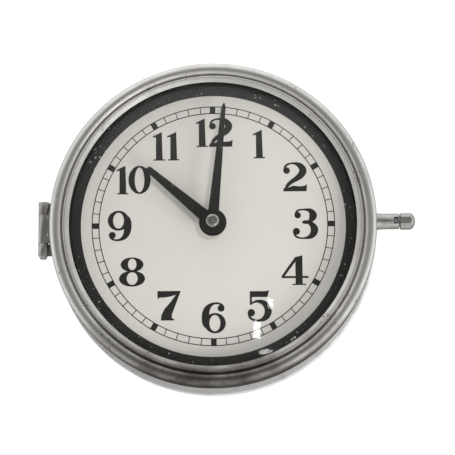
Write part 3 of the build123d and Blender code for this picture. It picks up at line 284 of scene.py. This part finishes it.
class Finish:
    """A material that works out its look from the place on the piece, in metres.

    Noise and specks have their scale in features per metre.
    """

    def __init__(self, name):
        self.material = bpy.data.materials.new(name)
        self.material.use_nodes = True
        self.tree = self.material.node_tree
        self.shader = self.tree.nodes["Principled BSDF"]
        self.place = self.tree.nodes.new("ShaderNodeTexCoord").outputs["Object"]

    def feed(self, socket, value):
        feed(self.tree, socket, value)

    def set(self, **values):
        """Sets inputs of the surface shader, named with underscores."""
        for name, value in values.items():
            self.feed(self.shader.inputs[name.replace("_", " ")], value)

    def calc(self, operation, *values):
        node = self.tree.nodes.new("ShaderNodeMath")
        node.operation = operation
        for socket, value in zip(node.inputs, values):
            self.feed(socket, value)
        return node.outputs[0]

    def vector(self, operation, *values):
        node = self.tree.nodes.new("ShaderNodeVectorMath")
        node.operation = operation
        for socket, value in zip(node.inputs, values):
            self.feed(socket, value)
        return node.outputs["Value" if operation == "LENGTH" else "Vector"]

    def spread(self, value, low, high, to_low=0.0, to_high=1.0):
        """Value carried from the range low..high to another range, held at its ends."""
        node = self.tree.nodes.new("ShaderNodeMapRange")
        for socket, number in zip(node.inputs, (value, low, high, to_low, to_high)):
            self.feed(socket, number)
        return node.outputs["Result"]

    def noise(self, where, scale, detail=3.0, roughness=0.55, w=None):
        node = self.tree.nodes.new("ShaderNodeTexNoise")
        self.feed(node.inputs["Vector"], where)
        if w is not None:
            node.noise_dimensions = "4D"
            self.feed(node.inputs["W"], w)
        self.feed(node.inputs["Scale"], scale)
        self.feed(node.inputs["Detail"], detail)
        self.feed(node.inputs["Roughness"], roughness)
        return node.outputs[0]

    def specks(self, where, scale, size):
        """1 inside small round specks scattered over the piece, 0 between them."""
        node = self.tree.nodes.new("ShaderNodeTexVoronoi")
        self.feed(node.inputs["Vector"], where)
        self.feed(node.inputs["Scale"], scale)
        chosen = self.tree.nodes.new("ShaderNodeSeparateColor")
        self.feed(chosen.inputs[0], node.outputs["Color"])
        reach = self.calc("MULTIPLY", chosen.outputs[0], size)
        solid_part = self.calc("MULTIPLY", reach, 0.6)
        return self.spread(node.outputs["Distance"], solid_part, reach, 1.0, 0.0)

    def tint(self, amount, first, second):
        """The first colour, turned by an amount of 0..1 into the second."""
        node = self.tree.nodes.new("ShaderNodeMix")
        node.data_type = "RGBA"
        self.feed(node.inputs["Factor"], amount)
        # The node has a pair of inputs for each kind of value; these are the two colours.
        self.feed(node.inputs[6], first)
        self.feed(node.inputs[7], second)
        return node.outputs[2]

    def patches(self, cloud, low, high, amount):
        """The parts of a cloud above a level, weakened to an amount."""
        return self.calc("MULTIPLY", self.spread(cloud, low, high), amount)

    def split(self, where):
        """The x, y and z of a place."""
        node = self.tree.nodes.new("ShaderNodeSeparateXYZ")
        self.feed(node.inputs[0], where)
        return node.outputs

    def round_axis(self, axis, centre):
        """(direction about an axis, distance from it, distance along it)."""
        offset = self.vector("SUBTRACT", self.place, centre)
        along = {"X": (1.0, 0.0, 0.0), "Y": (0.0, 1.0, 0.0), "Z": (0.0, 0.0, 1.0)}[axis]
        flat = self.vector("MULTIPLY", offset, [1.0 - a for a in along])
        distance = self.vector("LENGTH", flat)
        direction = self.vector("NORMALIZE", flat)
        return direction, distance, self.split(offset)["XYZ".index(axis)]

    def turned_lines(self, axis, spacing, centre):
        """Fine lines that run round an axis, as a lathe or a buffing wheel leaves them."""
        direction, distance, along = self.round_axis(axis, centre)
        round_part = self.vector("MULTIPLY", direction, (1 / LINE_TURN,) * 3)
        outward = self.calc("ADD", distance, self.calc("MULTIPLY", along, SLOPE_OF_LINES))
        across = self.calc("DIVIDE", outward, spacing)
        return self.noise(round_part, 1.0, detail=4.0, roughness=0.7, w=across)

    def drawn_lines(self, axis, spacing, length):
        """Fine lines along an axis, as drawing, rolling or brushing leaves them."""
        stretch = [1 / length if name == axis else 1 / spacing for name in "XYZ"]
        return self.noise(self.vector("MULTIPLY", self.place, stretch), 1.0, detail=4.0, roughness=0.6)

    def scratches(self, spacing, length, tilt):
        """Scattered short scratches that cross the surface at an angle."""
        turned = self.tree.nodes.new("ShaderNodeVectorRotate")
        turned.rotation_type = "Y_AXIS"
        self.feed(turned.inputs["Vector"], self.place)
        self.feed(turned.inputs["Angle"], radians(tilt))
        stretch = (1 / length, 1 / length, 1 / spacing)
        lines = self.noise(self.vector("MULTIPLY", turned.outputs[0], stretch), 1.0, detail=2.0)
        return self.spread(lines, 0.70, 0.78)

    def worn_edges(self, radius):
        """1 along the edges of the piece, 0 on its faces."""
        bevel = self.tree.nodes.new("ShaderNodeBevel")
        bevel.samples = 4
        self.feed(bevel.inputs["Radius"], radius)
        geometry = self.tree.nodes.new("ShaderNodeNewGeometry")
        node = self.tree.nodes.new("ShaderNodeVectorMath")
        node.operation = "DOT_PRODUCT"
        self.feed(node.inputs[0], bevel.outputs[0])
        self.feed(node.inputs[1], geometry.outputs["Normal"])
        return self.spread(node.outputs["Value"], 0.97, 0.80)

    def relief(self, height, depth):
        """Bumps the surface by a height of 0..1 times depth, in metres."""
        node = self.tree.nodes.new("ShaderNodeBump")
        self.feed(node.inputs["Height"], height)
        self.feed(node.inputs["Distance"], depth)
        self.feed(node.inputs["Strength"], 1.0)
        self.set(Normal=node.outputs[0])


def worn_chrome(name, axis, centre, painted_reflection_at):
    """Old chrome plate: buffed round an axis, scuffed, pitted, tarnished in patches, and with a dark brown
    reflection painted on where the given mask puts it.
    """
    finish = Finish(name)
    lines = finish.turned_lines(axis, 0.5 * MM, centre)
    cloud = finish.noise(finish.place, 60.0, detail=5.0)
    fine = finish.noise(finish.place, 900.0, detail=3.0)
    specks = finish.specks(finish.place, 420.0, 0.35)
    pits = finish.calc("MULTIPLY", specks, finish.spread(cloud, 0.48, 0.62))
    tarnish = finish.spread(cloud, 0.42, 0.75)
    long_marks = finish.scratches(0.35 * MM, 14 * MM, 25)
    short_marks = finish.scratches(0.3 * MM, 9 * MM, -50)
    marks = finish.calc("MAXIMUM", long_marks, short_marks)
    plate = finish.tint(tarnish, CHROME, TARNISHED_CHROME)
    plate = finish.tint(finish.spread(lines, 0.3, 0.7), plate, grey(0.62, 0.02))
    # Painted dark brown reflection, stronger towards the bottom of the bezel.
    plate = finish.tint(painted_reflection_at(finish, cloud), plate, PAINTED_LOW_REFLECTION)
    plate = finish.tint(pits, plate, grey(0.08, 0.05))
    plate = finish.tint(finish.calc("MULTIPLY", marks, 0.5), plate, grey(0.85))
    rough = finish.spread(lines, 0.3, 0.7, 0.3, 0.42)
    rough = finish.calc("ADD", rough, finish.calc("MULTIPLY", tarnish, 0.14))
    finish.set(Base_Color=plate, Metallic=1.0, Roughness=rough)
    height = finish.calc("ADD", finish.calc("MULTIPLY", lines, 0.35), finish.calc("MULTIPLY", fine, 0.3))
    height = finish.calc("SUBTRACT", height, finish.calc("MULTIPLY", pits, 0.8))
    height = finish.calc("SUBTRACT", height, finish.calc("MULTIPLY", marks, 0.3))
    finish.relief(height, 0.035 * MM)
    return finish.material


def metal(name, tone, lines_of, roughness, depth=0.015, metallic=1.0):
    """Bare metal with tool lines, cloudy tone, dirt in patches and brighter worn edges; depth in mm."""
    finish = Finish(name)
    lines = lines_of(finish)
    cloud = finish.noise(finish.place, 90.0, detail=5.0)
    colour = finish.tint(finish.spread(lines, 0.3, 0.7), tone, scaled(tone, 0.72))
    colour = finish.tint(finish.patches(cloud, 0.5, 0.75, 0.35), colour, DIRT)
    worn = finish.calc("MULTIPLY", finish.worn_edges(0.4 * MM), 0.6)
    colour = finish.tint(worn, colour, scaled(tone, 1.35))
    rough = finish.spread(cloud, 0.3, 0.7, roughness, roughness + 0.18)
    finish.set(Base_Color=colour, Metallic=metallic, Roughness=rough)
    fine = finish.noise(finish.place, 1500.0, detail=2.0)
    finish.relief(finish.calc("ADD", lines, finish.calc("MULTIPLY", fine, 0.4)), depth * MM)
    return finish.material


def paint(name, tone, gloss, grain, mottle, dust=0.0, wear=0.0):
    """Paint or print: faintly mottled, orange-peeled, dusty and worn at its edges; grain in mm."""
    finish = Finish(name)
    cloud = finish.noise(finish.place, 26.0, detail=5.0, roughness=0.65)
    peel = finish.noise(finish.place, 700.0, detail=2.0)
    colour = finish.tint(finish.spread(cloud, 0.3, 0.7), tone, scaled(tone, 1 - mottle))
    if dust:
        specks = finish.specks(finish.place, 300.0, 0.3)
        flecks = finish.calc("MULTIPLY", specks, finish.spread(cloud, 0.4, 0.7))
        colour = finish.tint(finish.calc("MULTIPLY", flecks, dust), colour, grey(0.55, 0.03))
    if wear:
        worn = finish.calc("MULTIPLY", finish.worn_edges(0.3 * MM), wear)
        colour = finish.tint(worn, colour, UNDERCOAT)
    rough = finish.spread(peel, 0.3, 0.7, gloss, gloss + 0.15)
    finish.set(Base_Color=colour, Roughness=rough, Specular_IOR_Level=0.2)
    finish.relief(peel, grain * MM)
    return finish.material


def plastic(name, tone, gloss=0.45, grain=0.02, sheen=0.0):
    """Moulded plastic or rubber: fine pebble grain in mm, with dust and scuffs in patches."""
    finish = Finish(name)
    cloud = finish.noise(finish.place, 120.0, detail=4.0)
    pebble = finish.noise(finish.place, 2600.0, detail=2.0)
    scuffed = tuple(min(channel * 1.5 + 0.02, 1.0) for channel in tone[:3]) + (1.0,)
    colour = finish.tint(finish.patches(cloud, 0.45, 0.75, 0.5), tone, scuffed)
    rough = finish.spread(pebble, 0.3, 0.7, gloss, gloss + 0.2)
    finish.set(Base_Color=colour, Roughness=rough, Sheen_Weight=sheen)
    finish.relief(pebble, grain * MM)
    return finish.material


def wound_wire(name, tone, axis, pitch):
    """Close turns of enamelled wire, with painted shade in the grooves between the turns and darker random
    mottling.
    """
    finish = Finish(name)
    along = finish.split(finish.place)["XYZ".index(axis)]
    phase = finish.calc("FRACT", finish.calc("DIVIDE", along, pitch))
    hump = finish.calc("SINE", finish.calc("MULTIPLY", phase, pi))
    cloud = finish.noise(finish.place, 300.0)
    groove_shade_and_mottle = scaled(tone, 0.4)
    # Painted shade: each turn darkens towards the grooves beside it and is lightest on its crown.
    colour = finish.tint(finish.spread(hump, 0.1, 0.7), groove_shade_and_mottle, tone)
    colour = finish.tint(finish.calc("MULTIPLY", cloud, 0.4), colour, groove_shade_and_mottle)
    finish.set(Base_Color=colour, Metallic=0.7, Roughness=0.3, Coat_Weight=0.5)
    finish.relief(hump, pitch * 0.4)
    return finish.material


def laminated(name, tone):
    """Stacked steel sheets, seen as lines across the stack, with a bluish oxide."""
    finish = Finish(name)
    depth = finish.split(finish.place)[1]
    phase = finish.calc("FRACT", finish.calc("DIVIDE", depth, SHEET))
    groove = finish.spread(finish.calc("PINGPONG", phase, 0.5), 0.0, 0.12)
    cloud = finish.noise(finish.place, 200.0)
    colour = finish.tint(cloud, tone, scaled(tone, 0.6))
    finish.set(Base_Color=colour, Metallic=0.9, Roughness=finish.spread(cloud, 0.3, 0.7, 0.35, 0.6))
    finish.relief(groove, 0.05 * MM)
    return finish.material


def clear_glass(name):
    """Thin clear glass: it lets the light through and reflects more towards the rim, with a little dust."""
    finish = Finish(name)
    tree = finish.tree
    tree.nodes.remove(finish.shader)
    clear = tree.nodes.new("ShaderNodeBsdfTransparent")
    clear.inputs["Color"].default_value = (0.99, 0.988, 0.98, 1.0)
    gloss = tree.nodes.new("ShaderNodeBsdfGlossy")
    smear = finish.noise(finish.place, 35.0, detail=5.0, roughness=0.7)
    finish.feed(gloss.inputs["Roughness"], finish.spread(smear, 0.4, 0.8, 0.015, 0.07))
    fresnel = tree.nodes.new("ShaderNodeFresnel")
    # Seen from inside the pane the index is turned over, so that both faces reflect alike.
    inside = tree.nodes.new("ShaderNodeNewGeometry").outputs["Backfacing"]
    finish.feed(fresnel.inputs["IOR"], finish.spread(inside, 0.0, 1.0, GLASS_INDEX, 1 / GLASS_INDEX))
    surface = tree.nodes.new("ShaderNodeMixShader")
    finish.feed(surface.inputs[0], fresnel.outputs[0])
    finish.feed(surface.inputs[1], clear.outputs[0])
    finish.feed(surface.inputs[2], gloss.outputs[0])
    dust = tree.nodes.new("ShaderNodeBsdfDiffuse")
    film = tree.nodes.new("ShaderNodeMixShader")
    finish.feed(film.inputs[0], finish.spread(smear, 0.5, 0.8, 0.0, 0.005))
    finish.feed(film.inputs[1], surface.outputs[0])
    finish.feed(film.inputs[2], dust.outputs[0])
    finish.feed(tree.nodes["Material Output"].inputs["Surface"], film.outputs[0])
    return finish.material


def centre_of(node):
    """The middle of a piece's box."""
    low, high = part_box(node)
    return (low + high) / 2


latch_axis = centre_of("latch_barrel")
hinge_axis = centre_of("hinge_pin")
hands_axis = (0.0, 0.0, 0.0)


def bezel_painted_reflection(finish, cloud):
    """Painted dark brown reflection low on the bezel: it grows towards the bottom and is patchy with the
    cloud.
    """
    low = finish.spread(finish.split(finish.place)["Z"], -60 * MM, -105 * MM)
    return finish.calc("MULTIPLY", low, finish.spread(cloud, 0.2, 0.6, 0.55, 1.0))


def round_hands(finish):
    return finish.turned_lines("Y", 0.4 * MM, hands_axis)


def round_latch(finish):
    return finish.turned_lines("X", 0.3 * MM, latch_axis)


def up_hinge(finish):
    return finish.drawn_lines("Z", 0.3 * MM, 12 * MM)


def across_sheet(finish):
    return finish.drawn_lines("X", 0.4 * MM, 30 * MM)


def small_turning(finish):
    return finish.noise(finish.place, 1800.0, detail=2.0)


finishes = {
    "chromed_bezel": worn_chrome("chromed_bezel", "Y", hands_axis, bezel_painted_reflection),
    "case_metal": metal("case_metal", grey(0.68, 0.01), round_hands, 0.38, metallic=0.5),
    "cover_metal": metal("cover_metal", grey(0.42, 0.01), across_sheet, 0.36),
    "hinge_metal": metal("hinge_metal", grey(0.46, 0.03), up_hinge, 0.3),
    "latch_metal": metal("latch_metal", grey(0.50, 0.03), round_latch, 0.28),
    "fastener_steel": metal("fastener_steel", grey(0.5, 0.01), small_turning, 0.3),
    "clear_glass": clear_glass("clear_glass"),
    "black_rubber": plastic("black_rubber", grey(0.022, 0.02), 0.6, sheen=0.3),
    "dial_white": paint("dial_white", (0.66, 0.648, 0.618, 1.0), 0.42, 0.004, 0.035),
    "dial_ink": paint("dial_ink", grey(0.017, 0.06), 0.5, 0.004, 0.25),
    "black_paint": paint("black_paint", grey(0.018, 0.05), 0.5, 0.012, 0.3, dust=0.8, wear=0.15),
    "hand_black": paint("hand_black", grey(0.016, 0.03), 0.42, 0.006, 0.2, dust=0.3, wear=0.2),
    "nut_steel": metal("nut_steel", grey(0.62, 0.02), round_hands, 0.2),
    "movement_brass": metal("movement_brass", (0.66, 0.46, 0.18, 1.0), small_turning, 0.25),
    "arbor_steel": metal("arbor_steel", grey(0.55, -0.02), small_turning, 0.15, depth=0.006),
    "magnet": metal("magnet", grey(0.12), small_turning, 0.5, depth=0.03),
    "core_steel": laminated("core_steel", (0.30, 0.31, 0.34, 1.0)),
    "bobbin_plastic": plastic("bobbin_plastic", (0.72, 0.66, 0.5, 1.0)),
    "copper_wire": wound_wire("copper_wire", (0.75, 0.27, 0.1, 1.0), "Z", 0.3 * MM),
    "terminal_plastic": plastic("terminal_plastic", (0.06, 0.045, 0.035, 1.0), 0.35),
    "wire_insulation": plastic("wire_insulation", (0.4, 0.04, 0.035, 1.0), 0.4, grain=0.01),
    "spring_steel": metal("spring_steel", grey(0.5), small_turning, 0.25, depth=0.008),
}
for node, piece in pieces.items():
    piece.data.materials.clear()
    piece.data.materials.append(finishes[slot_of[node]])


# --- Studio ---

# Glows of the room: side and height in degrees, tightness, brightness
GLOWS = (
    (0, 90, 2, 1.4),
    (0, -90, 2, 0.9),
    (0, 0, 4, 0.15),
    (90, 0, 4, 1.3),
    (-90, 0, 4, 1.3),
    (-45, 45, 12, 0.35),
    (45, 45, 12, 0.3),
    (45, -40, 12, 1.4),
    (-45, -40, 12, 0.4),
)
# Lamps: name, side and height in degrees, distance, width and height in metres, power in watts,
# and whether metal and glass mirror them
LAMPS = (
    ("low_right", 60, -36, 1.3, 0.6, 0.6, 16.0, False),
    ("key", 16, 6, 1.6, 0.16, 0.16, 6.5, False),
    ("low_pane", 11.2, -21.7, 1.5, 0.05, 0.12, 0.3, True),
    ("high_pane", 15, -14, 1.5, 0.04, 0.07, 0.12, True),
)
LOOK_AT = Vector((9.7, -42, -1.92)) * MM
CAMERA_DISTANCE = 1.2
CAMERA_SIDE = 1.25  # degrees to the right of square on
CAMERA_HEIGHT = -10.3  # degrees above level
CAMERA_ROLL = -0.4  # degrees
FRAME_WIDTH = 0.3088  # width of the view at the place looked at, in metres
SENSOR = 36.0
NEAR_LIMIT = 0.05


def direction_to(side, height):
    """Unit vector, in degrees to the right of square on and above level."""
    side, height = radians(side), radians(height)
    return Vector((sin(side) * cos(height), -cos(side) * cos(height), sin(height)))


def look_from(thing, side, height, distance, roll=0.0):
    """Stands a lamp or the camera off to one side, aimed at the clock."""
    thing.location = LOOK_AT + direction_to(side, height) * distance
    thing.rotation_mode = "QUATERNION"
    aim = (LOOK_AT - thing.location).to_track_quat("-Z", "Y")
    thing.rotation_quaternion = aim @ Quaternion((0, 0, 1), radians(roll))


def softbox(name, side, height, distance, width, tall, power, mirrored):
    """A flat rectangular lamp aimed at the clock."""
    light = bpy.data.lights.new(name, "AREA")
    light.shape = "RECTANGLE"
    light.size = width
    light.size_y = tall
    light.energy = power
    lamp = bpy.data.objects.new(name, light)
    bpy.context.scene.collection.objects.link(lamp)
    lamp.visible_glossy = mirrored
    look_from(lamp, side, height, distance)


for lamp_values in LAMPS:
    softbox(*lamp_values)

camera = bpy.data.objects.new("camera", bpy.data.cameras.new("camera"))
bpy.context.scene.collection.objects.link(camera)
camera.data.sensor_width = SENSOR
camera.data.lens = SENSOR * CAMERA_DISTANCE / FRAME_WIDTH
camera.data.clip_start = NEAR_LIMIT
look_from(camera, CAMERA_SIDE, CAMERA_HEIGHT, CAMERA_DISTANCE, CAMERA_ROLL)
bpy.context.scene.camera = camera

# The room: white where the camera sees it, and soft glows from several sides where the clock does.
world = bpy.data.worlds.new("room")
bpy.context.scene.world = world
world.use_nodes = True
room = world.node_tree


def room_node(kind, *values, operation=None):
    """A node of the room's light, with its inputs fed in order."""
    node = room.nodes.new(kind)
    if operation:
        node.operation = operation
    for socket, value in zip(node.inputs, values):
        feed(room, socket, value)
    return node


ray = room_node("ShaderNodeTexCoord").outputs["Generated"]
glow = 0.0
for side, height, tightness, brightness in GLOWS:
    toward = room_node("ShaderNodeVectorMath", ray, direction_to(side, height), operation="DOT_PRODUCT")
    facing = room_node("ShaderNodeMath", toward.outputs["Value"], 0.0, operation="MAXIMUM").outputs[0]
    lobe = room_node("ShaderNodeMath", facing, tightness, operation="POWER").outputs[0]
    glow = room_node("ShaderNodeMath", lobe, brightness, glow, operation="MULTIPLY_ADD").outputs[0]
seen = room_node("ShaderNodeLightPath").outputs["Is Camera Ray"]
level = room_node("ShaderNodeMath", seen, 1.0, glow, operation="MULTIPLY_ADD").outputs[0]
room.links.new(level, room.nodes["Background"].inputs["Strength"])
room.nodes["Background"].inputs["Color"].default_value = (1.0, 1.0, 1.0, 1.0)

# Pale floor, low enough to pass under the camera. It neither lights the clock nor shades it.
FLOOR_Z = -0.34
FLOOR_REACH = 6
floor_corners = [
    (x * FLOOR_REACH, y * FLOOR_REACH, FLOOR_Z)
    for x, y in ((-1, -1), (1, -1), (1, 1), (-1, 1))
]
floor_mesh = bpy.data.meshes.new("floor")
floor_mesh.from_pydata(floor_corners, [], [(0, 1, 2, 3)])
floor = bpy.data.objects.new("floor", floor_mesh)
bpy.context.scene.collection.objects.link(floor)
floor_finish = Finish("floor")
floor_finish.set(Base_Color=grey(0.8), Roughness=0.8)
floor_mesh.materials.append(floor_finish.material)
floor.visible_glossy = False
floor.visible_diffuse = False
floor.visible_shadow = False

bpy.context.scene.view_settings.view_transform = "Standard"
